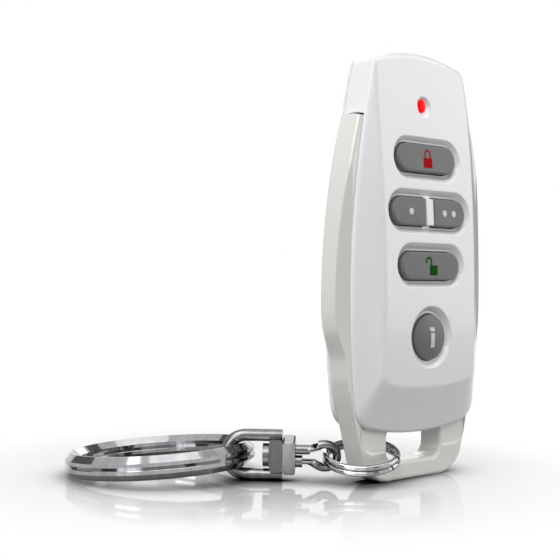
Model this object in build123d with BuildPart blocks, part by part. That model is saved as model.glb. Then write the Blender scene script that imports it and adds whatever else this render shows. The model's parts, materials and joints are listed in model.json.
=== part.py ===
# Alarm key fob: a slim wedge of two white covers around a warm grey side frame, with five push keys,
# a status light, a coin cell board inside, and a split ring chain on the loop at its foot.
# Frame: origin at the centre of the standing foot, +Z up, the keys look towards -Y, +X to the right.
from build123d import *
import os
from math import asin, cos, radians, sin, sqrt, tan

os.makedirs("parts", exist_ok=True)

# Coin cell, in millimetres: the widths and the depth of the fob are built up around it
cell_radius = 10.0
cell_depth = 3.2
cell_can_step = 0.35
cell_side_margin = 0.6
cell_back_gap = 0.2
contact_thickness = 0.2
contact_width = 5.0
contact_gap = 0.4
contact_foot = 1.0
pad_radius = 7.0

# Main form
frame_depth = 4.4
face_rise = 3.25
grip_width = 2.25
flank_width = 5.2
top_margin = 4.58

# Walls, fits and gaps
cover_wall = 1.8
back_wall = 1.2
skirt_wall = 1.0
seam_gap = 0.05
front_skirt_depth = 1.0
rear_skirt_depth = 1.4
skirt_gap = 0.1
key_gap = 0.15
fit_gap = 0.05
cut_overrun = 1.0

# Depth levels, counted along Y from the middle of the side frame
frame_front_y = -frame_depth / 2
frame_back_y = frame_depth / 2
face_y = frame_front_y - face_rise
rim_edge = 0.6
rim_bevel = 0.35
rim_edge_y = frame_front_y - rim_edge

# Bowed front face: one long arc in side view, foremost at its apex height
face_top_lip = 0.02
face_apex_height = 25.0

# Outline of the covers, seen from the front
cover_bottom = 7.6
cover_bottom_bow = 1.8
cover_bottom_taper = 1.55
cover_widest_height = 31.0
cover_top_taper = 5.05
cover_top_bow = 1.5
cover_bottom_corner = 3.8
cover_top_corner = 2.8
cover_top_round = 1.3
back_inset = 2.2
back_round = 1.2

# Outline of the raised plateau that carries the keys
plateau_bottom = 15.5
plateau_bottom_bow = 1.0
plateau_bottom_flare = 0.5
plateau_middle_height = 40.0
plateau_top_taper = 3.4
plateau_top_drop = 3.0
plateau_top_bow = 1.2
plateau_bottom_corner = 2.2
plateau_top_corner = 2.0
plateau_edge_round = 1.5
plateau_round_share = 0.80
cavity_margin = 1.4

# Side frame: outline points as shares of its half width and of the fob's height
foot_end_share = (0.300, 0.0)
foot_corner_shares = ((0.530, 0.012), (0.658, 0.042))
waist_shares = ((0.851, 0.215), (0.898, 0.287), (0.962, 0.338), (1.000, 0.420))
arm_top_share = (0.774, 0.8365)
arm_arch = 0.7
hood_gap = 0.3
facet_width = 2.55
facet_drop = 1.15
frame_edge_round = 0.5

# Loop at the foot of the side frame
slot_half_width = 6.7
slot_floor = 3.1
slot_top = 8.9
slot_corner = 2.0
pocket_half_width = 13.0
pocket_floor_height = 4.8
pocket_corner = 3.0
pocket_depth = 0.25
slot_edge = 0.5
slot_edge_angle = 45.0

# Keys
key_height = 4.54
key_length = 14.3
pair_length = 18.0
key_spacing = 4.16
info_radius = 3.7
info_spacing = 5.53
info_crown = 0.3
info_edge_drop = 0.3
key_travel = 0.5
key_edge = 0.3
recess_depth = 0.9
recess_slope = 46.0
recess_lift = 0.42
recess_side_margin = 0.45
recess_end_margin = 0.3
info_recess_margin = 0.55
info_recess_slope = 42.0
recess_lead = 0.6
flange_depth = 0.4
flange_margin = 0.7
flange_under_divider = 0.35
divider_width = 1.7
divider_inset = 0.12
stem_radius = 1.2
stem_rise = 0.1
inlay_depth = 0.3

# Key signs
lock_sign_width = 2.2
lock_sign_body = 1.6
open_sign_width = 1.95
open_sign_body_offset = 0.5
open_sign_shackle_offset = -0.66
shackle_radius = 0.8
shackle_bar = 0.34
shackle_leg = 0.6
open_leg_rise = 0.35
dot_radius = 0.55
dot_spacing = 2.35
one_dot_offset = 4.6
two_dot_offset = 4.9
info_sign_width = 0.92
info_sign_bar = 2.35
info_sign_dot = 0.65
info_sign_space = 0.25
info_sign_slant = 0.35

# Tact switches, board and light
switch_width = 4.2
switch_height = 3.2
switch_depth = 0.8
switch_lead = 0.6
switch_lead_width = 0.7
switch_lead_depth = 0.3
switch_stroke_gap = 0.05
plunger_radius = 0.95
plunger_tail = 0.25
board_thickness = 0.8
board_margin = 0.25
pair_switch_offset = 4.6
led_spacing = 6.4
led_radius = 1.05
led_recess_slope = 45.0
led_recess_depth = 0.6
led_crown = 0.4
led_flange_radius = 1.65
led_flange_depth = 0.4
led_chip_width = 1.6
led_chip_height = 0.9
led_chip_depth = 0.6

# Parts on the back of the board
part_gap = 1.5
chip_size = 5.0
chip_depth = 0.9
radio_size = 4.0
crystal_length = 3.2
crystal_width = 1.5
crystal_depth = 0.8
passive_length = 1.0
passive_width = 0.5
passive_depth = 0.5
passive_pitch = 1.8
passive_columns = 4
antenna_width = 13.0
antenna_length = 6.2
antenna_trace = 0.7
antenna_thickness = 0.3

# Screws, bosses and pillars
screw_radius = 0.95
screw_head_radius = 1.7
screw_head_depth = 1.0
screw_front_wall = 1.2
screw_slot_width = 0.45
screw_slot_depth = 0.5
screw_slot_share = 1.3
head_sink = 0.2
boss_wall = 0.85
boss_shoulder = 0.6
boss_gap = 0.2
pillar_radius = 0.8
pillar_side_margin = 1.2

# Chain: its line leaves the loop backwards to the left, at the height of the fork that lies on the ground
chain_yaw = 132.7
ring_tilt = 14.6
loop_side_offset = 3.4
jump_centre_y = 0.45
jump_play = 0.98
jump_wire = 0.92
coil_overlap = 0.02
wire_end_gap = 0.5
wire_end_angle = 152.0
wire_end_step = 9.0
eye_wire = 1.6
eye_play = 0.25
eye_slack = 2.65
eye_neck_gap = 0.4
eye_neck_reach = 5.1
eye_length = 7.4
eye_bend_angle = 60.0
eye_plate_height = 5.4
eye_plate_depth = 3.6
ferrule_length = 1.1
ferrule_wall = 0.22
plate_thickness = 2.0
plate_gap = 0.08
plate_corner = 0.4
fork_plate_lap = 0.45
fork_plate_depth = 3.8
fork_wire = 2.0
fork_play = 0.6
fork_arm_length = 5.85
pin_radius = 0.9
pin_head_play = 0.25
pin_head_depth = 1.0
pin_head_gap = 0.1
key_ring_outer = 31.0
key_ring_width = 2.3
key_ring_height = 3.7
key_ring_flat = 0.3
key_ring_groove = 0.3
key_ring_play = 0.45
key_ring_turn = 14.0
key_ring_floor_gap = 0.1
key_ring_slit = 0.2
key_ring_slit_angle = 165.0


# Half widths, from the coin cell outwards
plateau_middle_half = cell_radius + cell_side_margin
plateau_bottom_half = plateau_middle_half + plateau_bottom_flare
plateau_top_half = plateau_middle_half - plateau_top_taper
cover_half_width = plateau_middle_half + flank_width
cover_bottom_half = cover_half_width - cover_bottom_taper
cover_top_half = cover_half_width - cover_top_taper
frame_half_width = cover_half_width + grip_width
facet_inner_half = frame_half_width - facet_width

# Heights on the front, from the lower screw boss upwards
boss_radius = screw_radius + boss_wall
shoulder_radius = boss_radius + boss_shoulder
lower_boss_height = plateau_bottom - cavity_margin + boss_radius + boss_gap
info_height = lower_boss_height + shoulder_radius + boss_gap + flange_margin + info_radius
unlock_height = info_height + info_radius + info_spacing + key_height / 2
pair_height = unlock_height + key_height + key_spacing
lock_height = pair_height + key_height + key_spacing
led_height = lock_height + key_height / 2 + led_spacing

# Heights on the back of the board, from the lower screw boss upwards
resistor_height = lower_boss_height + boss_radius + part_gap + passive_length / 2
cell_height = resistor_height + passive_length / 2 + part_gap + cell_radius
crystal_height = cell_height + cell_radius + part_gap + crystal_width / 2
chip_height = cell_height + cell_radius + part_gap * 2 + chip_size / 2
chip_offset = crystal_length / 2 + part_gap + chip_size / 2
capacitor_height = chip_height + chip_size / 2 + part_gap + passive_length / 2

# The upper boss clears both the light and the antenna, and the top of the fob follows it
upper_boss_height = max(led_height + led_flange_radius + boss_gap * 2 + shoulder_radius,
                        capacitor_height + passive_length / 2 + part_gap * 2 + antenna_length + boss_radius)
antenna_height = upper_boss_height - boss_radius - part_gap - antenna_length / 2
fob_height = upper_boss_height + top_margin
pillar_places = [(side * (plateau_middle_half - pillar_side_margin), z)
                 for side in (-1, 1) for z in (resistor_height, capacitor_height)]
face_drop = face_rise - face_top_lip
face_bow_radius = ((fob_height - face_apex_height) ** 2 + face_drop**2) / face_drop / 2


def depth_plane(y):
    """Sketch plane facing the front at depth y: sketch x is X and sketch y is Z."""
    return Plane.XZ.offset(-y)


def face_at(z):
    """Depth of the bowed front face at height z."""
    return face_y + face_bow_radius - sqrt(face_bow_radius**2 - (z - face_apex_height) ** 2)


# Outlines, each drawn inside the sketch that calls it; growth moves every edge outwards
def shield(bottom, bottom_bow, bottom_half, middle, top, top_bow, top_half, corners, growth):
    low = bottom + bottom_bow - growth
    high = top - top_bow + growth
    low_half = bottom_half + growth
    high_half = top_half + growth
    with BuildLine() as edge:
        ThreePointArc((-low_half, low), (0, bottom - growth), (low_half, low))
        ThreePointArc((low_half, low), (middle[0] + growth, middle[1]), (high_half, high))
        ThreePointArc((high_half, high), (0, top + growth), (-high_half, high))
        ThreePointArc((-high_half, high), (-middle[0] - growth, middle[1]), (-low_half, low))
    make_face(edge.edges())
    fillet(vertices().group_by(Axis.Y)[0], corners[0] + growth)
    fillet(vertices().group_by(Axis.Y)[-1], corners[1] + growth)


def cover_outline(growth=0):
    shield(cover_bottom, cover_bottom_bow, cover_bottom_half, (cover_half_width, cover_widest_height),
           fob_height, cover_top_bow, cover_top_half, (cover_bottom_corner, cover_top_corner), growth)


def inner_outline(growth):
    shield(plateau_bottom, plateau_bottom_bow, plateau_bottom_half,
           (plateau_middle_half, plateau_middle_height),
           fob_height - plateau_top_drop, plateau_top_bow, plateau_top_half,
           (plateau_bottom_corner, plateau_top_corner), cavity_margin + growth)


# Depths of the key stack, the board and the coin cell, from the face backwards
def flange_front_y(z):
    """Front of a key's flange, just behind the deepest part of the wall that it bears on."""
    reach = (info_radius if z == info_height else key_height / 2) + flange_margin
    return max(face_at(z - reach), face_at(z + reach)) + cover_wall + fit_gap


plunger_top_y = flange_front_y(lock_height) + flange_depth + stem_rise
switch_front_y = plunger_top_y + key_travel + switch_stroke_gap
board_front_y = switch_front_y + switch_depth
board_back_y = board_front_y + board_thickness
cell_front_y = board_back_y + contact_thickness
cell_back_y = cell_front_y + cell_depth
inner_back_y = cell_back_y + contact_thickness + cell_back_gap
back_y = inner_back_y + back_wall
head_front_y = back_y - head_sink - screw_head_depth
screw_tip_y = face_at(upper_boss_height) + screw_front_wall


# Everything behind the bowed face, set back by an inset, and everything above the frame's arched arm tops
def behind_face(inset):
    with BuildPart() as space:
        with BuildSketch(Plane.YZ):
            with BuildLine():
                low = (face_at(0) + inset, 0)
                high = (face_at(fob_height) + inset, fob_height)
                ThreePointArc(low, (face_y + inset, face_apex_height), high)
                Line(high, (back_y, fob_height))
                Line((back_y, fob_height), (back_y, 0))
                Line((back_y, 0), low)
            make_face()
        extrude(amount=frame_half_width, both=True)
    return space.part


arm_top_height = arm_top_share[1] * fob_height - arm_arch


def above_arms(lift):
    with BuildPart() as space:
        with BuildSketch(Plane.YZ):
            with BuildLine():
                front = (frame_front_y - cut_overrun, arm_top_height + lift)
                back = (frame_back_y + cut_overrun, arm_top_height + lift)
                ThreePointArc(front, (0, arm_top_height + arm_arch + lift), back)
                Line(back, (back[0], fob_height + cut_overrun))
                Line((back[0], fob_height + cut_overrun), (front[0], fob_height + cut_overrun))
                Line((front[0], fob_height + cut_overrun), front)
            make_face()
        extrude(amount=frame_half_width + cut_overrun, both=True)
    return space.part


# Side and height of each key
key_rows = {
    "lock": (0, lock_height),
    "one_dot": (-1, pair_height),
    "two_dot": (1, pair_height),
    "unlock": (0, unlock_height),
    "info": (0, info_height),
}


# Plan of a key: a disc, or a stadium whose split halves stop short of the divider bar by the key gap
def key_plan(side, z, growth, divider_growth=0):
    with Locations((0, z)):
        if z == info_height:
            Circle(info_radius + growth)
        else:
            length = pair_length if side else key_length
            SlotOverall(length + growth * 2, key_height + growth * 2)
    if side:
        cut = pair_length + growth * 2
        edge = divider_width / 2 + key_gap - divider_growth
        with Locations((side * (edge - cut / 2), z)):
            Rectangle(cut, cut, mode=Mode.SUBTRACT)


# Front cover: the recesses widen forwards, and their front rims sit a little higher than their floors
def recess_cut(z, side):
    lead = recess_lead + recess_depth
    slope_growth = lead * tan(radians(recess_slope)) * 2
    length = (pair_length if side else key_length) + recess_end_margin * 2
    height = key_height + recess_side_margin * 2
    with BuildPart() as recess:
        with BuildSketch(depth_plane(face_at(z) + recess_depth)):
            with Locations((0, z)):
                SlotOverall(length, height)
        with BuildSketch(depth_plane(face_at(z) - recess_lead)):
            with Locations((0, z + recess_lift)):
                SlotOverall(length + slope_growth, height + slope_growth)
        loft(ruled=True)
    return recess.part


def round_recess_cut(z, floor_radius, depth, slope):
    lead = recess_lead + depth
    with BuildPart() as recess:
        with BuildSketch(depth_plane(face_at(z) + depth)):
            with Locations((0, z)):
                Circle(floor_radius)
        with BuildSketch(depth_plane(face_at(z) - recess_lead)):
            with Locations((0, z)):
                Circle(floor_radius + lead * tan(radians(slope)))
        loft(ruled=True)
    return recess.part


def ring_between(outer, inner):
    inner_outline(outer)
    with BuildSketch(mode=Mode.PRIVATE) as hole:
        inner_outline(inner)
    add(hole.sketch, mode=Mode.SUBTRACT)


# Cavity behind the face, open to the back
with BuildPart() as cover_cavity:
    with BuildSketch(depth_plane(face_y)):
        inner_outline(0)
    extrude(amount=-(back_y - face_y))
    add(behind_face(cover_wall), mode=Mode.INTERSECT)

with BuildPart() as divider_bar:
    with BuildSketch(depth_plane(face_at(pair_height) - recess_lead)):
        with Locations((0, pair_height)):
            Rectangle(divider_width, key_height - divider_inset * 2)
    extrude(amount=-(recess_lead + cover_wall))
    add(behind_face(0), mode=Mode.INTERSECT)

with BuildPart() as hood:
    with BuildSketch(depth_plane(frame_front_y)):
        cover_outline()
    extrude(amount=-frame_depth)
    add(above_arms(hood_gap), mode=Mode.INTERSECT)

# Rounding of the front cover's top edge, turned along the bow of the top
top_bow_radius = (cover_top_half**2 + cover_top_bow**2) / cover_top_bow / 2
with BuildPart() as top_rounding:
    with BuildSketch(Plane.YZ):
        with BuildLine():
            front_y = face_at(fob_height)
            round_start = (face_at(fob_height - cover_top_round), fob_height - cover_top_round)
            round_end = (front_y + cover_top_round, fob_height)
            round_reach = cover_top_round * (1 - sqrt(0.5))
            high = fob_height + cut_overrun
            ahead = round_start[0] - cut_overrun
            ThreePointArc(round_start, (front_y + round_reach, fob_height - round_reach), round_end)
            Polyline(round_end, (round_end[0], high), (ahead, high), (ahead, round_start[1]), round_start)
        make_face()
    revolve(axis=Axis((0, 0, fob_height - top_bow_radius), (0, 1, 0)))

with BuildPart() as front_cover:
    # Plateau, slanted flanks and rim, cut back along the bowed face
    with BuildSketch(depth_plane(face_y)):
        inner_outline(-cavity_margin)
    with BuildSketch(depth_plane(rim_edge_y)):
        cover_outline(-rim_bevel)
    with BuildSketch(depth_plane(rim_edge_y + rim_bevel)):
        cover_outline()
    loft(ruled=True)
    with BuildSketch(depth_plane(rim_edge_y + rim_bevel)):
        cover_outline()
    extrude(amount=rim_bevel - rim_edge)
    add(behind_face(0), mode=Mode.INTERSECT)
    plateau_edges = faces().sort_by(Axis.Y)[0].outer_wire().edges()
    rounded_height = fob_height * plateau_round_share
    fillet(plateau_edges.filter_by(lambda e: e.center().Z < rounded_height), plateau_edge_round)
    # Hood over the arms of the side frame
    add(hood.part)
    add(top_rounding.part, mode=Mode.SUBTRACT)
    # Locating skirt inside the side frame
    with BuildSketch(depth_plane(frame_front_y)):
        ring_between(skirt_wall, 0)
    extrude(amount=-front_skirt_depth)
    add(cover_cavity.part, mode=Mode.SUBTRACT)
    # Dished recesses around the keys, and the divider bar of the split row
    for side, z in key_rows.values():
        if z == info_height:
            add(round_recess_cut(z, info_radius + info_recess_margin, recess_depth, info_recess_slope),
                mode=Mode.SUBTRACT)
        elif side < 1:
            add(recess_cut(z, side), mode=Mode.SUBTRACT)
    add(divider_bar.part)
    # Key holes through the recess floors
    for side, z in key_rows.values():
        with BuildSketch(depth_plane(face_y - recess_lead)):
            key_plan(side, z, key_gap, key_gap)
        extrude(amount=-(cover_wall + recess_lead - face_y + face_at(fob_height)), mode=Mode.SUBTRACT)
    # Light window: conical recess and bore
    add(round_recess_cut(led_height, led_radius + fit_gap, led_recess_depth, led_recess_slope),
        mode=Mode.SUBTRACT)
    with BuildSketch(depth_plane(face_y)):
        with Locations((0, led_height)):
            Circle(led_radius + fit_gap)
    extrude(amount=-(frame_front_y - face_y + cover_wall), mode=Mode.SUBTRACT)
    # Screw bosses: a shoulder carries the board, a neck passes through it to meet the rear cover
    for z in (lower_boss_height, upper_boss_height):
        with BuildSketch(depth_plane(board_front_y)):
            with Locations((0, z)):
                Circle(shoulder_radius)
        extrude(amount=board_front_y - face_at(z) - cover_wall / 2)
        with BuildSketch(depth_plane(board_front_y)):
            with Locations((0, z)):
                Circle(boss_radius)
        extrude(amount=-(frame_back_y - board_front_y))
        with BuildSketch(depth_plane(frame_back_y)):
            with Locations((0, z)):
                Circle(screw_radius + fit_gap)
        extrude(amount=frame_back_y - screw_tip_y, mode=Mode.SUBTRACT)
front_cover.part.label = "front_cover"
export_step(front_cover.part, "parts/front_cover.step")


# Rear cover
with BuildPart() as rear_skirt:
    with BuildSketch(depth_plane(frame_back_y - rear_skirt_depth)):
        ring_between(skirt_wall, 0)
    extrude(amount=-(rear_skirt_depth + rim_edge))
    add(above_arms(-skirt_wall), mode=Mode.SUBTRACT)

with BuildPart() as rear_cover:
    with BuildSketch(depth_plane(frame_back_y + seam_gap)):
        cover_outline()
    extrude(amount=seam_gap - rim_edge)
    with BuildSketch(depth_plane(frame_back_y + rim_edge)):
        cover_outline()
    with BuildSketch(depth_plane(back_y - back_round)):
        cover_outline(-back_inset / 2)
    with BuildSketch(depth_plane(back_y)):
        cover_outline(-back_inset)
    loft(ruled=True)
    with BuildSketch(depth_plane(frame_back_y)):
        inner_outline(0)
    extrude(amount=-(inner_back_y - frame_back_y), mode=Mode.SUBTRACT)
    add(rear_skirt.part)
    # Bosses for the cover screws, with sunk heads
    for z in (lower_boss_height, upper_boss_height):
        with BuildSketch(depth_plane(frame_back_y + seam_gap)):
            with Locations((0, z)):
                Circle(screw_head_radius + boss_shoulder)
        extrude(amount=frame_back_y + seam_gap - back_y + back_wall / 2)
        with BuildSketch(depth_plane(back_y)):
            with Locations((0, z)):
                Circle(screw_head_radius + skirt_gap)
        extrude(amount=head_sink + screw_head_depth, mode=Mode.SUBTRACT)
        with BuildSketch(depth_plane(back_y)):
            with Locations((0, z)):
                Circle(screw_radius + key_gap)
        extrude(amount=back_y - frame_back_y, mode=Mode.SUBTRACT)
    # Pillars that hold the board against the shoulders of the front cover
    with BuildSketch(depth_plane(board_back_y + seam_gap)):
        with Locations(*pillar_places):
            Circle(pillar_radius)
    extrude(amount=-(back_y - back_wall / 2 - board_back_y - seam_gap))
rear_cover.part.label = "rear_cover"
export_step(rear_cover.part, "parts/rear_cover.step")


# Side frame with the key ring loop
def share_point(shares):
    return (shares[0] * frame_half_width, shares[1] * fob_height)


def frame_outline():
    foot_end = share_point(foot_end_share)
    corner, leg_start = [share_point(shares) for shares in foot_corner_shares]
    waist = [share_point(shares) for shares in waist_shares]
    arm_end = share_point(arm_top_share)
    rise = (waist[0][0] - leg_start[0], waist[0][1] - leg_start[1])
    with BuildLine() as edge:
        Line((0, 0), foot_end)
        ThreePointArc(foot_end, corner, leg_start)
        Line(leg_start, waist[0])
        Spline(waist, tangents=(rise, (0, 1)))
        TangentArc(waist[-1], arm_end, tangent=(0, 1))
        Line(arm_end, (0, arm_end[1]))
        mirror(about=Plane.YZ)
    make_face(edge.edges())


with BuildPart() as side_frame:
    with BuildSketch(depth_plane(frame_front_y)):
        frame_outline()
    extrude(amount=-frame_depth)
    arm_end_height = arm_top_share[1] * fob_height
    flat_edges = faces().sort_by(Axis.Y)[0].edges() + faces().sort_by(Axis.Y)[-1].edges()
    fillet(flat_edges.filter_by(lambda e: e.center().Z < arm_end_height - fit_gap), frame_edge_round)
    add(above_arms(0), mode=Mode.SUBTRACT)
    # Slanted front facets, which run out where the sides draw in to the grip
    with BuildSketch(Plane.XY):
        for side in (-1, 1):
            with BuildLine() as wedge:
                inner = (side * facet_inner_half, frame_front_y)
                outer = (side * frame_half_width, frame_front_y + facet_drop)
                corner = (side * frame_half_width, frame_front_y)
                Polyline(inner, outer, corner, close=True)
            make_face(wedge.edges())
    extrude(amount=fob_height, mode=Mode.SUBTRACT)
    # Opening for the board and the cover skirts
    with BuildSketch(depth_plane(frame_front_y)):
        inner_outline(skirt_wall + skirt_gap)
    extrude(amount=-frame_depth, mode=Mode.SUBTRACT)
    # Loop slot
    with BuildSketch(depth_plane(frame_front_y)):
        with Locations((0, (slot_floor + slot_top) / 2)):
            RectangleRounded(slot_half_width * 2, slot_top - slot_floor, slot_corner)
    extrude(amount=-frame_depth, mode=Mode.SUBTRACT)
    # Bevelled front rim of the slot
    with BuildSketch(depth_plane(frame_front_y)):
        with Locations((0, (slot_floor + slot_top) / 2)):
            RectangleRounded((slot_half_width + slot_edge) * 2, slot_top - slot_floor + slot_edge * 2,
                             slot_corner + slot_edge)
    extrude(amount=-slot_edge, taper=slot_edge_angle, mode=Mode.SUBTRACT)
    # Shallow pocket above the slot
    with BuildSketch(depth_plane(frame_front_y)):
        with Locations((0, (pocket_floor_height + info_height) / 2)):
            Rectangle(pocket_half_width * 2, info_height - pocket_floor_height)
        fillet(vertices().group_by(Axis.Y)[0], pocket_corner)
    extrude(amount=-pocket_depth, mode=Mode.SUBTRACT)
side_frame.part.label = "side_frame"
export_step(side_frame.part, "parts/side_frame.step")


# Keys, their inlaid signs and the switch plungers that they push
def stem_place(side, z):
    return (side * pair_switch_offset, z)


def key_blank(side, z):
    flange_y = flange_front_y(z)
    with BuildPart() as blank:
        with BuildSketch(depth_plane(flange_y)):
            key_plan(side, z, 0)
        extrude(amount=flange_y - face_y + recess_lead)
        if z == info_height:
            crown = info_crown + info_edge_drop
            crown_radius = (info_radius**2 + crown**2) / crown / 2
            with Locations((0, face_at(z) - info_crown + crown_radius, z)):
                Sphere(crown_radius, mode=Mode.INTERSECT)
        else:
            add(behind_face(0), mode=Mode.INTERSECT)
        fillet(faces().sort_by(Axis.Y)[0].outer_wire().edges(), key_edge)
        with BuildSketch(depth_plane(flange_y)):
            key_plan(side, z, flange_margin, flange_under_divider)
        extrude(amount=-flange_depth)
        with BuildSketch(depth_plane(plunger_top_y)):
            with Locations(stem_place(side, z)):
                Circle(stem_radius)
        extrude(amount=plunger_top_y - flange_y - flange_depth)
    return blank.part


def lock_sign(z, body_width, body_offset, shackle_offset, free_leg_rise):
    half = (lock_sign_body + shackle_leg + shackle_radius) / 2
    body_top = z - half + lock_sign_body
    leg_height = body_top + shackle_leg / 2
    top = z + half - shackle_radius
    with Locations((shackle_offset, top)):
        Circle(shackle_radius)
    with Locations((shackle_offset, leg_height)):
        Rectangle(shackle_radius * 2, shackle_leg)
    with Locations((shackle_offset, top)):
        Circle(shackle_radius - shackle_bar, mode=Mode.SUBTRACT)
    with Locations((shackle_offset, leg_height)):
        Rectangle((shackle_radius - shackle_bar) * 2, shackle_leg, mode=Mode.SUBTRACT)
    # The legs end at the body, the left one higher where the lock is open
    with Locations((shackle_offset, body_top - shackle_radius / 2)):
        Rectangle(shackle_radius * 2, shackle_radius, mode=Mode.SUBTRACT)
    with Locations((shackle_offset - shackle_radius / 2, body_top + free_leg_rise - shackle_radius / 2)):
        Rectangle(shackle_radius, shackle_radius, mode=Mode.SUBTRACT)
    with Locations((body_offset, z - half + lock_sign_body / 2)):
        Rectangle(body_width, lock_sign_body)


def dots_sign(z, *places):
    with Locations(*[(x, z) for x in places]):
        Circle(dot_radius)


def info_sign(z):
    half = (info_sign_bar + info_sign_space + info_sign_dot) / 2
    with Locations((0, z - half + info_sign_bar / 2)):
        Rectangle(info_sign_width, info_sign_bar)
    low = z + half - info_sign_dot
    high = z + half
    side = info_sign_width / 2
    with BuildLine() as edge:
        Polyline((-side, low), (side, low), (side, high), (-side - info_sign_slant, high), close=True)
    make_face(edge.edges())


def sign_prism(name, z):
    with BuildPart() as prism:
        with BuildSketch(depth_plane(face_at(z) + inlay_depth)):
            if name == "lock":
                lock_sign(z, lock_sign_width, 0, 0, 0)
            elif name == "one_dot":
                dots_sign(z, -one_dot_offset)
            elif name == "two_dot":
                dots_sign(z, two_dot_offset - dot_spacing / 2, two_dot_offset + dot_spacing / 2)
            elif name == "unlock":
                lock_sign(z, open_sign_width, open_sign_body_offset, open_sign_shackle_offset,
                          open_leg_rise)
            else:
                info_sign(z)
        extrude(amount=inlay_depth + recess_lead)
    return prism.part


for name, (side, z) in key_rows.items():
    blank = key_blank(side, z)
    prism = sign_prism(name, z)
    with BuildPart() as key:
        add(blank)
        add(prism, mode=Mode.SUBTRACT)
    key.part.label = name + "_key"
    export_step(key.part, "parts/" + name + "_key.step")

    with BuildPart() as icon:
        add(blank)
        add(prism, mode=Mode.INTERSECT)
    icon.part.label = name + "_icon"
    export_step(icon.part, "parts/" + name + "_icon.step")

    with BuildPart() as plunger:
        with BuildSketch(depth_plane(plunger_top_y)):
            with Locations(stem_place(side, z)):
                Circle(plunger_radius)
        extrude(amount=-(switch_front_y - plunger_top_y + plunger_tail))
    plunger.part.label = name + "_plunger"
    export_step(plunger.part, "parts/" + name + "_plunger.step")

    # Switch housing on the board, with a lead at each corner
    with BuildPart() as switch:
        with BuildSketch(depth_plane(board_front_y)):
            with Locations(stem_place(side, z)):
                Rectangle(switch_width, switch_height)
        extrude(amount=switch_depth)
        with BuildSketch(depth_plane(board_front_y)):
            with Locations(stem_place(side, z)):
                with GridLocations(switch_width, switch_height - switch_lead_width * 2, 2, 2):
                    Rectangle(switch_lead * 2, switch_lead_width)
        extrude(amount=switch_lead_depth)
        with BuildSketch(depth_plane(board_front_y)):
            with Locations(stem_place(side, z)):
                Circle(plunger_radius + fit_gap)
        extrude(amount=switch_depth, mode=Mode.SUBTRACT)
    switch.part.label = name + "_switch"
    export_step(switch.part, "parts/" + name + "_switch.step")


# Status light: a chip on the board behind a light pipe that ends in the front cover
led_chip_front_y = board_front_y - led_chip_depth
with BuildPart() as status_led:
    with BuildSketch(depth_plane(board_front_y)):
        with Locations((0, led_height)):
            Rectangle(led_chip_width, led_chip_height)
    extrude(amount=led_chip_depth)
status_led.part.label = "status_led"
export_step(status_led.part, "parts/status_led.step")

with BuildPart() as led_lens:
    lens_edge_y = face_at(led_height) + led_recess_depth
    lens_flange_y = face_at(led_height + led_flange_radius) + cover_wall + fit_gap
    with BuildSketch(depth_plane(lens_edge_y)):
        with Locations((0, led_height)):
            Circle(led_radius)
    extrude(amount=-(led_chip_front_y - fit_gap - lens_edge_y))
    with BuildSketch(depth_plane(lens_flange_y)):
        with Locations((0, led_height)):
            Circle(led_flange_radius)
    extrude(amount=-led_flange_depth)
    # Domed end
    with BuildSketch(Plane.YZ):
        with BuildLine() as dome:
            tip = (lens_edge_y - led_crown, led_height)
            edge = (lens_edge_y, led_height + led_radius)
            RadiusArc(tip, edge, (led_radius**2 + led_crown**2) / led_crown / 2)
            Line(edge, (lens_edge_y, led_height))
            Line((lens_edge_y, led_height), tip)
        make_face(dome.edges())
    revolve(axis=Axis((0, 0, led_height), (0, 1, 0)))
led_lens.part.label = "led_lens"
export_step(led_lens.part, "parts/led_lens.step")


# Circuit board with notches for the screw bosses
with BuildPart() as circuit_board:
    with BuildSketch(depth_plane(board_back_y)):
        inner_outline(-board_margin)
        with Locations((0, lower_boss_height), (0, upper_boss_height)):
            Circle(boss_radius + skirt_gap, mode=Mode.SUBTRACT)
    extrude(amount=board_thickness)
circuit_board.part.label = "circuit_board"
export_step(circuit_board.part, "parts/circuit_board.step")


# Coin cell between a flat pad and a sprung clip
with BuildPart() as battery_pad:
    with BuildSketch(depth_plane(cell_front_y)):
        with Locations((0, cell_height)):
            Circle(pad_radius)
    extrude(amount=contact_thickness)
battery_pad.part.label = "battery_pad"
export_step(battery_pad.part, "parts/battery_pad.step")

with BuildPart() as coin_cell:
    with BuildSketch(depth_plane(cell_back_y)):
        with Locations((0, cell_height)):
            Circle(cell_radius)
    extrude(amount=cell_depth - cell_can_step)
    with BuildSketch(depth_plane(cell_back_y)):
        with Locations((0, cell_height)):
            Circle(cell_radius - cell_can_step)
    extrude(amount=cell_depth)
coin_cell.part.label = "coin_cell"
export_step(coin_cell.part, "parts/coin_cell.step")

with BuildPart() as battery_clip:
    clip_half = cell_radius + contact_gap + contact_thickness
    with BuildSketch(Plane.XY.offset(cell_height)):
        with BuildLine() as strap:
            top_y = cell_back_y + contact_thickness
            foot_y = board_back_y + contact_thickness
            leg = clip_half - contact_thickness
            foot_end = clip_half + contact_foot
            Polyline((0, top_y), (clip_half, top_y), (clip_half, foot_y), (foot_end, foot_y),
                     (foot_end, board_back_y), (leg, board_back_y), (leg, cell_back_y), (0, cell_back_y))
            mirror(about=Plane.YZ)
        make_face(strap.edges())
    extrude(amount=contact_width / 2, both=True)
battery_clip.part.label = "battery_clip"
export_step(battery_clip.part, "parts/battery_clip.step")


# Parts on the back of the board
with BuildPart() as microcontroller:
    with BuildSketch(depth_plane(board_back_y)):
        with Locations((-chip_offset, chip_height)):
            Rectangle(chip_size, chip_size)
    extrude(amount=-chip_depth)
microcontroller.part.label = "microcontroller"
export_step(microcontroller.part, "parts/microcontroller.step")

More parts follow.
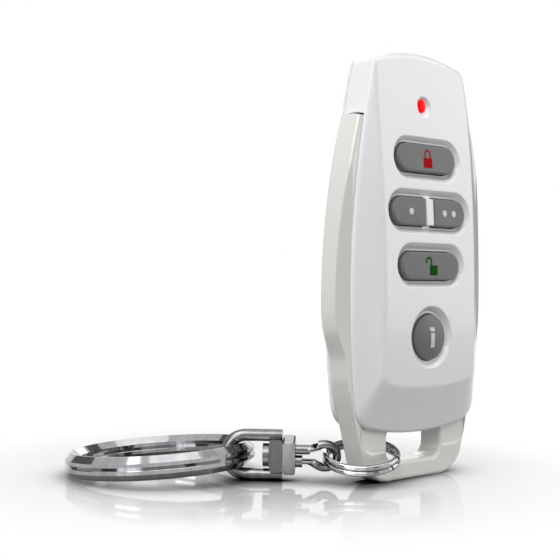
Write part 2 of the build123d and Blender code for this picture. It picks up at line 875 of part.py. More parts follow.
with BuildPart() as radio_chip:
    with BuildSketch(depth_plane(board_back_y)):
        with Locations((chip_offset, chip_height)):
            Rectangle(radio_size, radio_size)
    extrude(amount=-chip_depth)
radio_chip.part.label = "radio_chip"
export_step(radio_chip.part, "parts/radio_chip.step")

with BuildPart() as crystal:
    with BuildSketch(depth_plane(board_back_y)):
        with Locations((0, crystal_height)):
            SlotOverall(crystal_length, crystal_width)
    extrude(amount=-crystal_depth)
crystal.part.label = "crystal"
export_step(crystal.part, "parts/crystal.step")

with BuildPart() as capacitors:
    with BuildSketch(depth_plane(board_back_y)):
        with Locations((0, capacitor_height)):
            with GridLocations(passive_pitch, passive_pitch, passive_columns, 1):
                Rectangle(passive_width, passive_length)
    extrude(amount=-passive_depth)
capacitors.part.label = "capacitors"
export_step(capacitors.part, "parts/capacitors.step")

with BuildPart() as resistors:
    with BuildSketch(depth_plane(board_back_y)):
        with Locations((0, resistor_height)):
            with GridLocations(passive_pitch, passive_pitch, passive_columns, 1):
                Rectangle(passive_width, passive_length)
    extrude(amount=-passive_depth)
resistors.part.label = "resistors"
export_step(resistors.part, "parts/resistors.step")

with BuildPart() as antenna_loop:
    with BuildSketch(depth_plane(board_back_y)):
        with Locations((0, antenna_height)):
            Rectangle(antenna_width, antenna_length)
            Rectangle(antenna_width - antenna_trace * 2, antenna_length - antenna_trace * 2,
                      mode=Mode.SUBTRACT)
    extrude(amount=-antenna_thickness)
antenna_loop.part.label = "antenna_loop"
export_step(antenna_loop.part, "parts/antenna_loop.step")


# Cover screws, put in from the back
with BuildPart() as cover_screws:
    with BuildSketch(depth_plane(head_front_y)):
        with Locations((0, lower_boss_height), (0, upper_boss_height)):
            Circle(screw_head_radius)
    extrude(amount=-screw_head_depth)
    with BuildSketch(depth_plane(head_front_y)):
        with Locations((0, lower_boss_height), (0, upper_boss_height)):
            Circle(screw_radius)
    extrude(amount=head_front_y - screw_tip_y)
    with BuildSketch(depth_plane(back_y - head_sink)):
        with Locations((0, lower_boss_height), (0, upper_boss_height)):
            Rectangle(screw_head_radius * screw_slot_share, screw_slot_width)
            Rectangle(screw_slot_width, screw_head_radius * screw_slot_share)
    extrude(amount=screw_slot_depth, mode=Mode.SUBTRACT)
cover_screws.part.label = "cover_screws"
export_step(cover_screws.part, "parts/cover_screws.step")


# Chain, laid out along its own line from the centre of the jump ring
fork_inner = key_ring_height + fork_play
chain_height = fork_inner / 2 + fork_wire
chain_centre = (-slot_half_width - loop_side_offset, jump_centre_y, chain_height)
jump_radius = sqrt(loop_side_offset**2 + (frame_depth / 2 + jump_centre_y) ** 2) + jump_wire / 2 + jump_play
chain_cos = cos(radians(chain_yaw))
chain_sin = sin(radians(chain_yaw))
tilt_cos = cos(radians(ring_tilt))
tilt_sin = sin(radians(ring_tilt))
# Upright plane along the chain, and the leaning planes that hold the jump ring and the eye link
fork_plane = Plane(chain_centre, x_dir=(chain_cos, chain_sin, 0), z_dir=(chain_sin, -chain_cos, 0))
ring_normal = (-tilt_sin * chain_sin, tilt_sin * chain_cos, tilt_cos)
ring_plane = Plane(chain_centre, x_dir=(chain_cos, chain_sin, 0), z_dir=ring_normal)
eye_plane = Plane(chain_centre, x_dir=(chain_cos, chain_sin, 0), z_dir=ring_plane.y_dir * -1)

with BuildPart() as jump_ring:
    coil_offset = (jump_wire - coil_overlap) / 2
    with BuildSketch(eye_plane):
        with Locations((jump_radius, coil_offset), (jump_radius, -coil_offset)):
            Circle(jump_wire / 2)
    revolve(axis=Axis(chain_centre, ring_normal))
    # Gaps at the two wire ends
    for side in (-1, 1):
        with BuildSketch(ring_plane):
            with PolarLocations(jump_radius, 1, start_angle=wire_end_angle + side * wire_end_step):
                Rectangle(jump_wire * 2, wire_end_gap)
        extrude(amount=side * jump_wire * 2, mode=Mode.SUBTRACT)
jump_ring.part.label = "jump_ring"
export_step(jump_ring.part, "parts/jump_ring.step")

# Eye link: a bent wire with a cross plate, a ferrule on one arm and the swivel pin
eye_bend = jump_wire + eye_play + eye_wire / 2
eye_end = jump_radius - eye_slack
eye_neck_start = eye_end + eye_neck_reach
eye_plate_start = eye_end + eye_length
eye_bend_centre = eye_end + eye_wire / 2 + eye_bend
eye_arm = (eye_neck_gap + eye_wire) / 2
eye_plate_end = eye_plate_start + plate_thickness
with BuildPart() as eye_link:
    with BuildLine(eye_plane) as eye_path:
        bend_start = (eye_bend_centre + eye_bend * cos(radians(eye_bend_angle)),
                      eye_bend * sin(radians(eye_bend_angle)))
        bend_heading = (-sin(radians(eye_bend_angle)), cos(radians(eye_bend_angle)))
        Line((eye_plate_start + plate_thickness / 2, eye_arm), (eye_neck_start, eye_arm))
        Spline((eye_neck_start, eye_arm), bend_start, tangents=((-1, 0), bend_heading))
        ThreePointArc(bend_start, (eye_bend_centre - eye_bend, 0), (bend_start[0], -bend_start[1]))
        Spline((bend_start[0], -bend_start[1]), (eye_neck_start, -eye_arm),
               tangents=((-bend_heading[0], bend_heading[1]), (1, 0)))
        Line((eye_neck_start, -eye_arm), (eye_plate_start + plate_thickness / 2, -eye_arm))
    with BuildSketch(Plane(eye_path.wires()[0] @ 0, z_dir=eye_path.wires()[0] % 0)):
        Circle(eye_wire / 2)
    sweep(path=eye_path.wires()[0])
    # Ferrule that closes one arm
    ferrule_start = eye_plane.from_local_coords((eye_plate_start, -eye_arm, 0))
    with BuildSketch(Plane(ferrule_start, z_dir=eye_plane.x_dir * -1)):
        Circle(eye_wire / 2 + ferrule_wall)
    extrude(amount=ferrule_length)
    # Cross plate with the bore that holds the pin
    with BuildSketch(eye_plane):
        with Locations(((eye_plate_start + eye_plate_end) / 2, 0)):
            RectangleRounded(plate_thickness, eye_plate_height, plate_corner)
    extrude(amount=eye_plate_depth / 2, both=True)
    with BuildSketch(Plane(eye_plane.from_local_coords((eye_plate_start, 0, 0)), z_dir=eye_plane.x_dir)):
        Circle(pin_radius)
    extrude(amount=plate_thickness, mode=Mode.SUBTRACT)
eye_link.part.label = "eye_link"
export_step(eye_link.part, "parts/eye_link.step")

# Swivel pin, fixed in the eye link's plate, with its head inside the fork
fork_plate_start = eye_plate_end + plate_gap
fork_plate_end = fork_plate_start + plate_thickness
pin_head_start = fork_plate_end + pin_head_gap
with BuildPart() as swivel_pin:
    with BuildSketch(Plane(fork_plane.from_local_coords((eye_plate_start, 0, 0)), z_dir=fork_plane.x_dir)):
        Circle(pin_radius)
    extrude(amount=pin_head_start - eye_plate_start)
    with BuildSketch(Plane(fork_plane.from_local_coords((pin_head_start, 0, 0)), z_dir=fork_plane.x_dir)):
        Circle(fork_inner / 2 - pin_head_play)
    extrude(amount=pin_head_depth)
swivel_pin.part.label = "swivel_pin"
export_step(swivel_pin.part, "parts/swivel_pin.step")

# Fork link: a plate that turns on the pin, and a wire bow that holds the key ring
fork_bend = (fork_inner + fork_wire) / 2
fork_bend_start = fork_plate_start + fork_arm_length
with BuildPart() as fork_link:
    with BuildLine(fork_plane) as fork_path:
        Line((fork_plate_start, fork_bend), (fork_bend_start, fork_bend))
        ThreePointArc((fork_bend_start, fork_bend), (fork_bend_start + fork_bend, 0),
                      (fork_bend_start, -fork_bend))
        Line((fork_bend_start, -fork_bend), (fork_plate_start, -fork_bend))
    with BuildSketch(Plane(fork_path.wires()[0] @ 0, z_dir=fork_path.wires()[0] % 0)):
        Circle(fork_wire / 2)
    sweep(path=fork_path.wires()[0])
    with BuildSketch(fork_plane):
        with Locations(((fork_plate_start + fork_plate_end) / 2, 0)):
            RectangleRounded(plate_thickness, fork_inner + fork_plate_lap * 2, plate_corner)
    extrude(amount=fork_plate_depth / 2, both=True)
    with BuildSketch(Plane(fork_plane.from_local_coords((fork_plate_start, 0, 0)), z_dir=fork_plane.x_dir)):
        Circle(pin_radius + fit_gap)
    extrude(amount=plate_thickness, mode=Mode.SUBTRACT)
fork_link.part.label = "fork_link"
export_step(fork_link.part, "parts/fork_link.step")

# Key ring: hangs in the bow of the fork and leans down to the ground at its far side
key_ring_mean = (key_ring_outer - key_ring_width) / 2
key_ring_along = fork_bend_start + fork_inner / 2 - key_ring_play - key_ring_width / 2
key_ring_drop = chain_height - key_ring_height / 2 - key_ring_floor_gap
key_ring_lean = asin(key_ring_drop / key_ring_mean / 2)
key_ring_yaw = radians(chain_yaw - key_ring_turn)
key_ring_heading = Vector(cos(key_ring_yaw), sin(key_ring_yaw), 0)
key_ring_out = key_ring_heading * cos(key_ring_lean) - Vector(0, 0, sin(key_ring_lean))
key_ring_normal = key_ring_heading * sin(key_ring_lean) + Vector(0, 0, cos(key_ring_lean))
key_ring_near = fork_plane.from_local_coords((key_ring_along, 0, 0))
key_ring_centre = key_ring_near + key_ring_out * key_ring_mean
key_ring_section = Plane(key_ring_centre, x_dir=key_ring_out, z_dir=key_ring_normal.cross(key_ring_out))
key_ring_plane = Plane(key_ring_centre, x_dir=key_ring_out, z_dir=key_ring_normal)
with BuildPart() as key_ring:
    half_width = key_ring_width / 2
    half_height = key_ring_height / 2
    with BuildSketch(key_ring_section):
        with Locations((-key_ring_mean, 0)):
            Rectangle(key_ring_width, key_ring_height)
            chamfer(vertices(), (key_ring_width - key_ring_flat) / 2)
        # Grooves where the two coils meet
        for side in (-1, 1):
            with BuildLine() as groove:
                rim = side * half_width - key_ring_mean
                floor = rim - side * key_ring_groove
                Polyline((rim, key_ring_groove), (floor, 0), (rim, -key_ring_groove), close=True)
            make_face(groove.edges(), mode=Mode.SUBTRACT)
    revolve(axis=Axis(key_ring_centre, key_ring_normal))
    # Ends of the flat coils
    for side in (-1, 1):
        with BuildSketch(key_ring_plane):
            with PolarLocations(key_ring_mean, 1, start_angle=key_ring_slit_angle * side):
                Rectangle(key_ring_width * 2, key_ring_slit)
        extrude(amount=side * key_ring_height, mode=Mode.SUBTRACT)
key_ring.part.label = "key_ring"
export_step(key_ring.part, "parts/key_ring.step")
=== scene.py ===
import json
from math import cos, sin

import bmesh
import bpy
from mathutils import Matrix, Vector

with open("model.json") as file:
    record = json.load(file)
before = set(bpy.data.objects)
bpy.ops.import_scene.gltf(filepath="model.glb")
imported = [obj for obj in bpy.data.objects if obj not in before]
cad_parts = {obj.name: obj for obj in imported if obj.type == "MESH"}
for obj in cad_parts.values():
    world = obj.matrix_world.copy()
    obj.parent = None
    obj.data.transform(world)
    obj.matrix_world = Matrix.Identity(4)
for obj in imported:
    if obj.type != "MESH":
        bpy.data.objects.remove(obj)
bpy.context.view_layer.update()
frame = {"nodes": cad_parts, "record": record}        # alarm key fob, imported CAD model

scene = bpy.context.scene
mm = 0.001

nodes = frame["nodes"]
slotOf = {part["node"]: part["material_slot"] for part in frame["record"]["subparts"]}


# sRGB hex to linear RGBA
def linear(hexColour):
    channels = [int(hexColour[i:i + 2], 16) / 255 for i in (1, 3, 5)]
    return tuple(c / 12.92 if c <= 0.04045 else ((c + 0.055) / 1.055) ** 2.4
                 for c in channels) + (1.0,)


# adds one node: settings go to its properties or unlinked inputs, links name the output that feeds
# an input; sockets whose names repeat, as a Mix node's colours 6 and 7, go by number
def addNode(tree, kind, settings=None, links=None):
    node = tree.nodes.new(kind)
    for key, value in (settings or {}).items():
        if isinstance(key, str) and hasattr(node, key):
            setattr(node, key, value)
        else:
            node.inputs[key].default_value = value
    for key, source in (links or {}).items():
        tree.links.new(source, node.inputs[key])
    return node


# empty material, with its node tree
def newMaterial(name):
    material = bpy.data.materials.new(name)
    material.use_nodes = True
    material.node_tree.nodes.clear()
    return material, material.node_tree


# shared by all moulded pieces: detail of their patterns, samples of their softened edges, and how
# rough a clear coat is
mouldedSkin = {"driftDetail": 2.0, "grainDetail": 3.0, "edgeSamples": 8, "coatRoughness": 0.08}


# moulded, lacquered and fired pieces: tint and roughness drift slowly, edges are softened, and the
# skin's grain is a bump
def mouldedMaterial(name, look):
    material, tree = newMaterial(name)
    place = addNode(tree, "ShaderNodeTexCoord").outputs["Object"]
    drift = addNode(tree, "ShaderNodeTexNoise",
                    {"Scale": 1 / (look["driftMm"] * mm), "Detail": mouldedSkin["driftDetail"]},
                    {"Vector": place})
    tint = addNode(tree, "ShaderNodeMix",
                   {"data_type": "RGBA", 6: linear(look["colour"]), 7: linear(look["tint"])},
                   {0: drift.outputs["Fac"]})
    gloss = addNode(tree, "ShaderNodeMapRange",
                    {"To Min": look["roughness"] - look["roughnessDrift"],
                     "To Max": look["roughness"] + look["roughnessDrift"]},
                    {"Value": drift.outputs["Fac"]})
    grain = addNode(tree, "ShaderNodeTexNoise",
                    {"Scale": 1 / (look["grainMm"] * mm), "Detail": mouldedSkin["grainDetail"]},
                    {"Vector": place})
    edges = addNode(tree, "ShaderNodeBevel",
                    {"samples": mouldedSkin["edgeSamples"], "Radius": look["edgeMm"] * mm})
    skin = addNode(tree, "ShaderNodeBump",
                   {"Strength": look["grainStrength"], "Distance": look["grainDepthMm"] * mm},
                   {"Height": grain.outputs["Fac"], "Normal": edges.outputs["Normal"]})
    shader = addNode(tree, "ShaderNodeBsdfPrincipled",
                     {"IOR": look["ior"], "Coat Weight": look.get("coat", 0.0),
                      "Coat Roughness": mouldedSkin["coatRoughness"]},
                     {"Base Color": tint.outputs[2], "Roughness": gloss.outputs["Result"],
                      "Normal": skin.outputs["Normal"]})
    addNode(tree, "ShaderNodeOutputMaterial", links={"Surface": shader.outputs["BSDF"]})
    return material


# shared by all metal pieces: detail of their patterns, and depth of their marks
metalSkin = {"driftDetail": 3.0, "markDetail": 4.0, "markDepthMm": 0.01}


# plated and drawn metals: patches of tint and polish, and fine marks, all drawn out the same way
def metalMaterial(name, look):
    material, tree = newMaterial(name)
    place = addNode(tree, "ShaderNodeTexCoord").outputs["Object"]
    drawn = addNode(tree, "ShaderNodeMapping", {"Scale": look["drawn"]}, {"Vector": place})
    drift = addNode(tree, "ShaderNodeTexNoise",
                    {"Scale": 1 / (look["driftMm"] * mm), "Detail": metalSkin["driftDetail"]},
                    {"Vector": drawn.outputs["Vector"]})
    patch = addNode(tree, "ShaderNodeMapRange",
                    {"From Min": 0.5 - look["patchBlend"], "From Max": 0.5 + look["patchBlend"]},
                    {"Value": drift.outputs["Fac"]})
    tint = addNode(tree, "ShaderNodeMix",
                   {"data_type": "RGBA", 6: linear(look["colour"]), 7: linear(look["tint"])},
                   {0: patch.outputs["Result"]})
    polish = addNode(tree, "ShaderNodeMapRange",
                     {"To Min": look["roughness"] - look["roughnessDrift"],
                      "To Max": look["roughness"] + look["roughnessDrift"]},
                     {"Value": drift.outputs["Fac"]})
    marks = addNode(tree, "ShaderNodeTexNoise",
                    {"Scale": 1 / (look["markMm"] * mm), "Detail": metalSkin["markDetail"]},
                    {"Vector": drawn.outputs["Vector"]})
    skin = addNode(tree, "ShaderNodeBump",
                   {"Strength": look["markStrength"], "Distance": metalSkin["markDepthMm"] * mm},
                   {"Height": marks.outputs["Fac"]})
    shader = addNode(tree, "ShaderNodeBsdfPrincipled", {"Metallic": 1.0},
                     {"Base Color": tint.outputs[2], "Roughness": polish.outputs["Result"],
                      "Normal": skin.outputs["Normal"]})
    addNode(tree, "ShaderNodeOutputMaterial", links={"Surface": shader.outputs["BSDF"]})
    return material


# light pipe that glows in its own colour, evenly but for a slow drift
def lightMaterial(name, look):
    material, tree = newMaterial(name)
    place = addNode(tree, "ShaderNodeTexCoord").outputs["Object"]
    drift = addNode(tree, "ShaderNodeTexNoise",
                    {"Scale": 1 / (look["driftMm"] * mm), "Detail": look["driftDetail"]},
                    {"Vector": place})
    tint = addNode(tree, "ShaderNodeMix",
                   {"data_type": "RGBA", 6: linear(look["colour"]), 7: linear(look["tint"])},
                   {0: drift.outputs["Fac"]})
    shader = addNode(tree, "ShaderNodeBsdfPrincipled",
                     {"Roughness": look["roughness"], "IOR": look["ior"],
                      "Emission Strength": look["glow"]},
                     {"Base Color": tint.outputs[2], "Emission Color": tint.outputs[2]})
    addNode(tree, "ShaderNodeOutputMaterial", links={"Surface": shader.outputs["BSDF"]})
    return material


# moulded pieces: colour drifts to tint over patches of driftMm, and the skin has grains of grainMm
mouldedLooks = {
    # ABS from a polished mould: soft wide highlights, clean cool white
    "cover_white": {
        "colour": "#F3F3F6", "tint": "#EEEEF1", "roughness": 0.24, "roughnessDrift": 0.03,
        "ior": 1.50, "coat": 0.45, "driftMm": 14, "grainMm": 0.8, "grainDepthMm": 0.004,
        "grainStrength": 0.12, "edgeMm": 0.35},
    # ABS in a warm light grey, polished brighter than the covers, so it takes long streaks of light
    "frame_grey": {
        "colour": "#E8E9E3", "tint": "#E1E2DC", "roughness": 0.17, "roughnessDrift": 0.03,
        "ior": 1.52, "coat": 0.8, "driftMm": 11, "grainMm": 1.1, "grainDepthMm": 0.005,
        "grainStrength": 0.12, "edgeMm": 0.35},
    # soft lacquer on polycarbonate keys: satin, mid grey; its even grain is drawn coarser than
    # it is, so that it shows
    "key_grey": {
        "colour": "#6E6E6E", "tint": "#666666", "roughness": 0.48, "roughnessDrift": 0.05,
        "ior": 1.46, "driftMm": 3, "grainMm": 0.22, "grainDepthMm": 0.008,
        "grainStrength": 0.25, "edgeMm": 0.15},
    # red and green two-shot inlays: next to no sheen, which keeps their colours deep
    "sign_red": {
        "colour": "#B4080E", "tint": "#A6060A", "roughness": 0.5, "roughnessDrift": 0.04,
        "ior": 1.1, "driftMm": 1.5, "grainMm": 0.25, "grainDepthMm": 0.006,
        "grainStrength": 0.2, "edgeMm": 0.05},
    "sign_green": {
        "colour": "#124E0E", "tint": "#0E440A", "roughness": 0.5, "roughnessDrift": 0.04,
        "ior": 1.1, "driftMm": 1.5, "grainMm": 0.25, "grainDepthMm": 0.006,
        "grainStrength": 0.2, "edgeMm": 0.05},
    # pale two-shot inlays: even, a touch glossier than the key round them
    "sign_pale": {
        "colour": "#DDDDDD", "tint": "#D2D2D2", "roughness": 0.38, "roughnessDrift": 0.04,
        "ior": 1.49, "driftMm": 1.5, "grainMm": 0.25, "grainDepthMm": 0.006,
        "grainStrength": 0.2, "edgeMm": 0.05},
    # pale epoxy body of the light chip
    "led_body": {
        "colour": "#EDE8D6", "tint": "#E0D9BE", "roughness": 0.4, "roughnessDrift": 0.04,
        "ior": 1.5, "driftMm": 1, "grainMm": 0.2, "grainDepthMm": 0.004,
        "grainStrength": 0.15, "edgeMm": 0.05},
    # green solder mask over glass cloth, whose 0.8 mm weave shows as a faint unevenness
    "board_green": {
        "colour": "#1D5A33", "tint": "#174A2A", "roughness": 0.33, "roughnessDrift": 0.06,
        "ior": 1.52, "coat": 0.3, "driftMm": 4, "grainMm": 0.8, "grainDepthMm": 0.01,
        "grainStrength": 0.3, "edgeMm": 0.05},
    # glass-filled nylon of the switches: dull black with a coarse skin
    "switch_black": {
        "colour": "#26262A", "tint": "#1E1E20", "roughness": 0.55, "roughnessDrift": 0.06,
        "ior": 1.53, "driftMm": 1.5, "grainMm": 0.18, "grainDepthMm": 0.01,
        "grainStrength": 0.35, "edgeMm": 0.05},
    # acetal plungers: waxy ivory
    "plunger_ivory": {
        "colour": "#E2DCC6", "tint": "#D9D1B6", "roughness": 0.36, "roughnessDrift": 0.04,
        "ior": 1.48, "driftMm": 1, "grainMm": 0.2, "grainDepthMm": 0.004,
        "grainStrength": 0.15, "edgeMm": 0.05},
    # moulded epoxy packages: sooty black, matt
    "chip_black": {
        "colour": "#242427", "tint": "#2C2C30", "roughness": 0.6, "roughnessDrift": 0.05,
        "ior": 1.5, "driftMm": 1.5, "grainMm": 0.12, "grainDepthMm": 0.008,
        "grainStrength": 0.35, "edgeMm": 0.05},
    # fired ceramic of the capacitors: tan, slightly mottled
    "capacitor_tan": {
        "colour": "#A38257", "tint": "#8F6F47", "roughness": 0.5, "roughnessDrift": 0.06,
        "ior": 1.6, "driftMm": 0.4, "grainMm": 0.1, "grainDepthMm": 0.006,
        "grainStrength": 0.3, "edgeMm": 0.05},
    # glazed resistor tops: near black
    "resistor_black": {
        "colour": "#28282B", "tint": "#323236", "roughness": 0.3, "roughnessDrift": 0.05,
        "ior": 1.5, "driftMm": 0.5, "grainMm": 0.1, "grainDepthMm": 0.004,
        "grainStrength": 0.2, "edgeMm": 0.05},
}

# metal pieces: patches of driftMm from colour to tint, the sharper the smaller patchBlend, and
# marks markMm apart; drawn is the density of both along x, y and z, so a low one is a long streak
metalLooks = {
    # bright nickel plate on steel wire: hard reflections, and upright patches of darker tint that
    # are painted streaks of reflection
    "chain_chrome": {
        "colour": "#ACACAE", "tint": "#9A9A9D", "roughness": 0.09, "roughnessDrift": 0.03,
        "drawn": (1, 1, 0.15), "driftMm": 1.0, "patchBlend": 0.2,
        "markMm": 0.35, "markStrength": 0.12},
    # greyer plate of the cast swivel, rumbled, so it takes broader reflections; its darker colour is
    # partly its own finish and partly painted shade, and its upright patches of darker tint are
    # painted streaks of reflection
    "swivel_nickel": {
        "colour": "#757577", "tint": "#656567", "roughness": 0.2, "roughnessDrift": 0.05,
        "drawn": (1, 1, 0.2), "driftMm": 1.2, "patchBlend": 0.2,
        "markMm": 0.3, "markStrength": 0.15},
    # nickel plated cell can: even, with a soft sheen
    "cell_steel": {
        "colour": "#C9C8C4", "tint": "#BDBCB7", "roughness": 0.26, "roughnessDrift": 0.05,
        "drawn": (1, 1, 1), "driftMm": 5, "patchBlend": 0.3,
        "markMm": 0.5, "markStrength": 0.15},
    # tin plated spring strip: warm grey, with rolling marks along its length
    "contact_steel": {
        "colour": "#C7C2B4", "tint": "#BAB4A5", "roughness": 0.3, "roughnessDrift": 0.06,
        "drawn": (0.2, 1, 1), "driftMm": 3, "patchBlend": 0.3,
        "markMm": 0.3, "markStrength": 0.2},
    # deep drawn can of the crystal: marks down its sides
    "crystal_steel": {
        "colour": "#C4C4C4", "tint": "#B8B8B8", "roughness": 0.22, "roughnessDrift": 0.05,
        "drawn": (1, 0.2, 1), "driftMm": 1.5, "patchBlend": 0.3,
        "markMm": 0.2, "markStrength": 0.15},
    # bare copper of the antenna, a little dulled
    "antenna_copper": {
        "colour": "#C98A5E", "tint": "#B57448", "roughness": 0.3, "roughnessDrift": 0.08,
        "drawn": (1, 1, 1), "driftMm": 2, "patchBlend": 0.3,
        "markMm": 0.3, "markStrength": 0.2},
    # zinc plated screws: bluish grey, with marks along their length
    "screw_steel": {
        "colour": "#B9BBBF", "tint": "#A9ABB0", "roughness": 0.28, "roughnessDrift": 0.06,
        "drawn": (1, 0.2, 1), "driftMm": 1.2, "patchBlend": 0.3,
        "markMm": 0.2, "markStrength": 0.2},
}

# acrylic light pipe, tinted red and lit
lightLooks = {
    "light_red": {
        "colour": "#F80C0C", "tint": "#E60808", "roughness": 0.2, "ior": 1.2, "glow": 0.55,
        "driftMm": 0.8, "driftDetail": 1.0},
}

materials = {name: mouldedMaterial(name, look) for name, look in mouldedLooks.items()}
materials.update({name: metalMaterial(name, look) for name, look in metalLooks.items()})
materials.update({name: lightMaterial(name, look) for name, look in lightLooks.items()})
print("materials:", len(materials))

# the swivel's three pieces have a greyer plate than the rings, which share their slot; the greyer
# plate is partly painted shade
finishOf = {"eye_link": "swivel_nickel", "swivel_pin": "swivel_nickel", "fork_link": "swivel_nickel"}
for name, node in nodes.items():
    node.data.materials.clear()
    node.data.materials.append(materials[finishOf.get(name, slotOf[name])])
print("nodes dressed:", len(nodes))


# 1 for rays from the camera, a mirror or glass, and 0 for light that spreads from matt surfaces
def seenShare(tree):
    ray = addNode(tree, "ShaderNodeLightPath")
    direct = addNode(tree, "ShaderNodeMath", {"operation": "MAXIMUM"},
                     {0: ray.outputs["Is Camera Ray"], 1: ray.outputs["Is Glossy Ray"]})
    through = addNode(tree, "ShaderNodeMath", {"operation": "MAXIMUM"},
                      {0: direct.outputs[0], 1: ray.outputs["Is Transmission Ray"]})
    return through.outputs[0]


# studio floor: polished near the fob, with painted shade where something stands close over it, and
# fading to plain white away from it
floorLook = {
    "size": 6.0,                                             # metres
    "colour": "#D2D2D2", "polish": "#FFFFFF", "roughness": 0.06,
    "mirrorNear": 0.42, "mirrorFar": 0.1,                    # share of polish, near and far
    "far": "#FFFFFF", "farStrength": 1.0,                    # what it fades to
    "centreMm": (-14, 20), "nearMm": 22, "farMm": 62,        # spot, start and end of the fade
    "shade": "#1E1E1E", "shadeMm": 7, "shadeSamples": 16,    # colour and reach of the painted shade
    "coveredShare": 0.3, "openShare": 0.97,                  # open sky at full painted shade, and at none
    "bounce": "#7E7E7E",                                     # colour that it gives back as light
}
bpy.ops.mesh.primitive_plane_add(size=floorLook["size"])
floor = bpy.context.object
floor.name = "studioFloor"
material, tree = newMaterial("studioFloor")
place = addNode(tree, "ShaderNodeTexCoord").outputs["Object"]
shift = (-floorLook["centreMm"][0] * mm, -floorLook["centreMm"][1] * mm, 0)
centred = addNode(tree, "ShaderNodeMapping", {"Location": shift}, {"Vector": place})
reach = addNode(tree, "ShaderNodeVectorMath", {"operation": "LENGTH"},
                {0: centred.outputs["Vector"]})
fade = addNode(tree, "ShaderNodeMapRange",
               {"interpolation_type": "SMOOTHSTEP",
                "From Min": floorLook["nearMm"] * mm, "From Max": floorLook["farMm"] * mm},
               {"Value": reach.outputs["Value"]})
share = addNode(tree, "ShaderNodeMapRange",
                {"To Min": floorLook["mirrorNear"], "To Max": floorLook["mirrorFar"]},
                {"Value": fade.outputs["Result"]})
matt = addNode(tree, "ShaderNodeBsdfDiffuse", {"Color": linear(floorLook["colour"])})
mirror = addNode(tree, "ShaderNodeBsdfGlossy",
                 {"Color": linear(floorLook["polish"]), "Roughness": floorLook["roughness"]})
lit = addNode(tree, "ShaderNodeMixShader",
              links={0: share.outputs["Result"], 1: matt.outputs[0], 2: mirror.outputs[0]})
# painted shade: ambient occlusion mixes the floor towards the shade colour where the fob or chain
# stands close over it
cover = addNode(tree, "ShaderNodeAmbientOcclusion",
                {"samples": floorLook["shadeSamples"], "Distance": floorLook["shadeMm"] * mm})
opening = addNode(tree, "ShaderNodeMapRange",
                  {"From Min": floorLook["coveredShare"], "From Max": floorLook["openShare"]},
                  {"Value": cover.outputs["AO"]})
dark = addNode(tree, "ShaderNodeBsdfDiffuse", {"Color": linear(floorLook["shade"])})
near = addNode(tree, "ShaderNodeMixShader",
               links={0: opening.outputs["Result"], 1: dark.outputs[0], 2: lit.outputs[0]})
white = addNode(tree, "ShaderNodeEmission",
                {"Color": linear(floorLook["far"]), "Strength": floorLook["farStrength"]})
seen = addNode(tree, "ShaderNodeMixShader",
               links={0: fade.outputs["Result"], 1: near.outputs[0], 2: white.outputs[0]})
plain = addNode(tree, "ShaderNodeBsdfDiffuse", {"Color": linear(floorLook["bounce"])})
final = addNode(tree, "ShaderNodeMixShader",
                links={0: seenShare(tree), 1: plain.outputs[0], 2: seen.outputs[0]})
addNode(tree, "ShaderNodeOutputMaterial", links={"Surface": final.outputs[0]})
floor.data.materials.append(material)

# white surround: full white where it is seen or mirrored, softer as light
skyLook = {"colour": "#FFFFFF", "seen": 1.0, "light": 0.42}
world = bpy.data.worlds.new("studioSky")
scene.world = world
world.use_nodes = True
tree = world.node_tree
tree.nodes.clear()
soft = addNode(tree, "ShaderNodeBackground",
               {"Color": linear(skyLook["colour"]), "Strength": skyLook["light"]})
bright = addNode(tree, "ShaderNodeBackground",
                 {"Color": linear(skyLook["colour"]), "Strength": skyLook["seen"]})
mixed = addNode(tree, "ShaderNodeMixShader",
                links={0: seenShare(tree), 1: soft.outputs[0], 2: bright.outputs[0]})
addNode(tree, "ShaderNodeOutputWorld", links={"Surface": mixed.outputs[0]})
print("floor and surround ready")

# cards and lamps all face this point, near the middle of the fob, in metres
studioTarget = Vector((0, 0, 0.03))

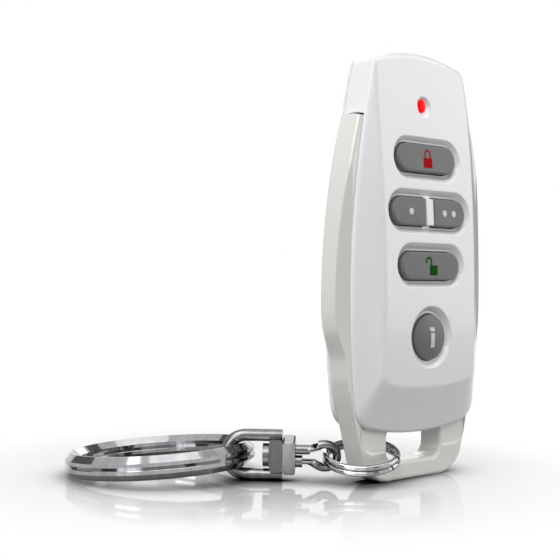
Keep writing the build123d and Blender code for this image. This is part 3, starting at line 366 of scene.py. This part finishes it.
# cards outside the picture, seen only in gloss: grey ones for darker streaks in the plating, and a
# bright strip that draws a fine line of light along the upright edges; place and size in metres
greyCard = {"colour": "#6E6E6E", "tint": "#7A7A7A", "strength": 1.0, "driftMm": 125}
brightCard = {"colour": "#FFFFFF", "tint": "#F2F2F2", "strength": 4.5, "driftMm": 125}
cardLooks = {
    "leftCard": {"place": (-0.40, 0.10, 0.10), "size": (0.16, 0.50), **greyCard},
    "frontCard": {"place": (-0.05, -0.45, 0.12), "size": (0.12, 0.50), **greyCard},
    "rightCard": {"place": (0.35, 0.05, 0.14), "size": (0.25, 0.40), **greyCard},
    "backCard": {"place": (-0.10, 0.45, 0.12), "size": (0.20, 0.40), **greyCard},
    "stripCard": {"place": (-0.36, -0.06, 0.16), "size": (0.20, 0.50), **brightCard},
}
for name, look in cardLooks.items():
    material, tree = newMaterial(name)
    place = addNode(tree, "ShaderNodeTexCoord").outputs["Object"]
    drift = addNode(tree, "ShaderNodeTexNoise", {"Scale": 1 / (look["driftMm"] * mm)},
                    {"Vector": place})
    tint = addNode(tree, "ShaderNodeMix",
                   {"data_type": "RGBA", 6: linear(look["colour"]), 7: linear(look["tint"])},
                   {0: drift.outputs["Fac"]})
    lit = addNode(tree, "ShaderNodeEmission", {"Strength": look["strength"]},
                  {"Color": tint.outputs[2]})
    addNode(tree, "ShaderNodeOutputMaterial", links={"Surface": lit.outputs[0]})
    work = bmesh.new()
    bmesh.ops.create_grid(work, x_segments=1, y_segments=1, size=0.5)     # one metre square
    turn = (studioTarget - Vector(look["place"])).to_track_quat("Z", "Y").to_matrix().to_4x4()
    scaled = Matrix.Diagonal((*look["size"], 1, 1))
    bmesh.ops.transform(work, matrix=Matrix.Translation(look["place"]) @ turn @ scaled,
                        verts=work.verts)
    mesh = bpy.data.meshes.new(name)
    work.to_mesh(mesh)
    work.free()
    mesh.materials.append(material)
    card = bpy.data.objects.new(name, mesh)
    scene.collection.objects.link(card)
    card.visible_camera = False
    card.visible_diffuse = False
    card.visible_shadow = False
print("cards ready:", len(cardLooks))

# lamps: place, and width and height, in metres, and watts
lampLooks = {
    "keyLamp": {"place": (-0.42, -0.30, 0.50), "size": (0.40, 0.40), "watts": 1.8},
    "topLamp": {"place": (0.05, -0.10, 0.60), "size": (0.50, 0.50), "watts": 0.8},
    "sideLamp": {"place": (-0.26, 0.03, 0.34), "size": (0.24, 0.24), "watts": 0.62},
    "fillLamp": {"place": (0.42, -0.24, 0.18), "size": (0.40, 0.40), "watts": 0.75},
    "backLamp": {"place": (0.34, 0.40, 0.32), "size": (0.40, 0.40), "watts": 0.75},
}
for name, look in lampLooks.items():
    lamp = bpy.data.lights.new(name, "AREA")
    lamp.shape = "RECTANGLE"
    lamp.size, lamp.size_y = look["size"]
    lamp.energy = look["watts"]
    holder = bpy.data.objects.new(name, lamp)
    scene.collection.objects.link(holder)
    holder.location = look["place"]
    toTarget = studioTarget - Vector(look["place"])
    holder.rotation_euler = toTarget.to_track_quat("-Z", "Y").to_euler()
print("lamps ready:", len(lampLooks))

# camera: long lens, level, 43 degrees round to the left of the keys, rolled by half a degree;
# place and clipStart in metres, heading and roll in radians, the picture's width in pixels
cameraLook = {
    "place": (-0.14745, -0.12625, 0.03214), "heading": 0.755, "roll": 0.009,
    "focalPixels": 1170, "widthPixels": 560, "sensorMm": 36, "clipStart": 0.005,
}
heading, roll = cameraLook["heading"], cameraLook["roll"]
right = Vector((cos(heading), -sin(heading), 0))
ahead = Vector((sin(heading), cos(heading), 0))
up = Vector((0, 0, 1))
side = right * cos(roll) + up * sin(roll)
over = up * cos(roll) - right * sin(roll)
lens = bpy.data.cameras.new("photoCamera")
lens.sensor_width = cameraLook["sensorMm"]
lens.lens = cameraLook["sensorMm"] * cameraLook["focalPixels"] / cameraLook["widthPixels"]
lens.clip_start = cameraLook["clipStart"]
camera = bpy.data.objects.new("photoCamera", lens)
scene.collection.objects.link(camera)
camera.matrix_world = Matrix((
    (side.x, over.x, -ahead.x, cameraLook["place"][0]),
    (side.y, over.y, -ahead.y, cameraLook["place"][1]),
    (side.z, over.z, -ahead.z, cameraLook["place"][2]),
    (0, 0, 0, 1)))
scene.camera = camera
scene.view_settings.view_transform = "Standard"
print("camera ready")

print("finished")
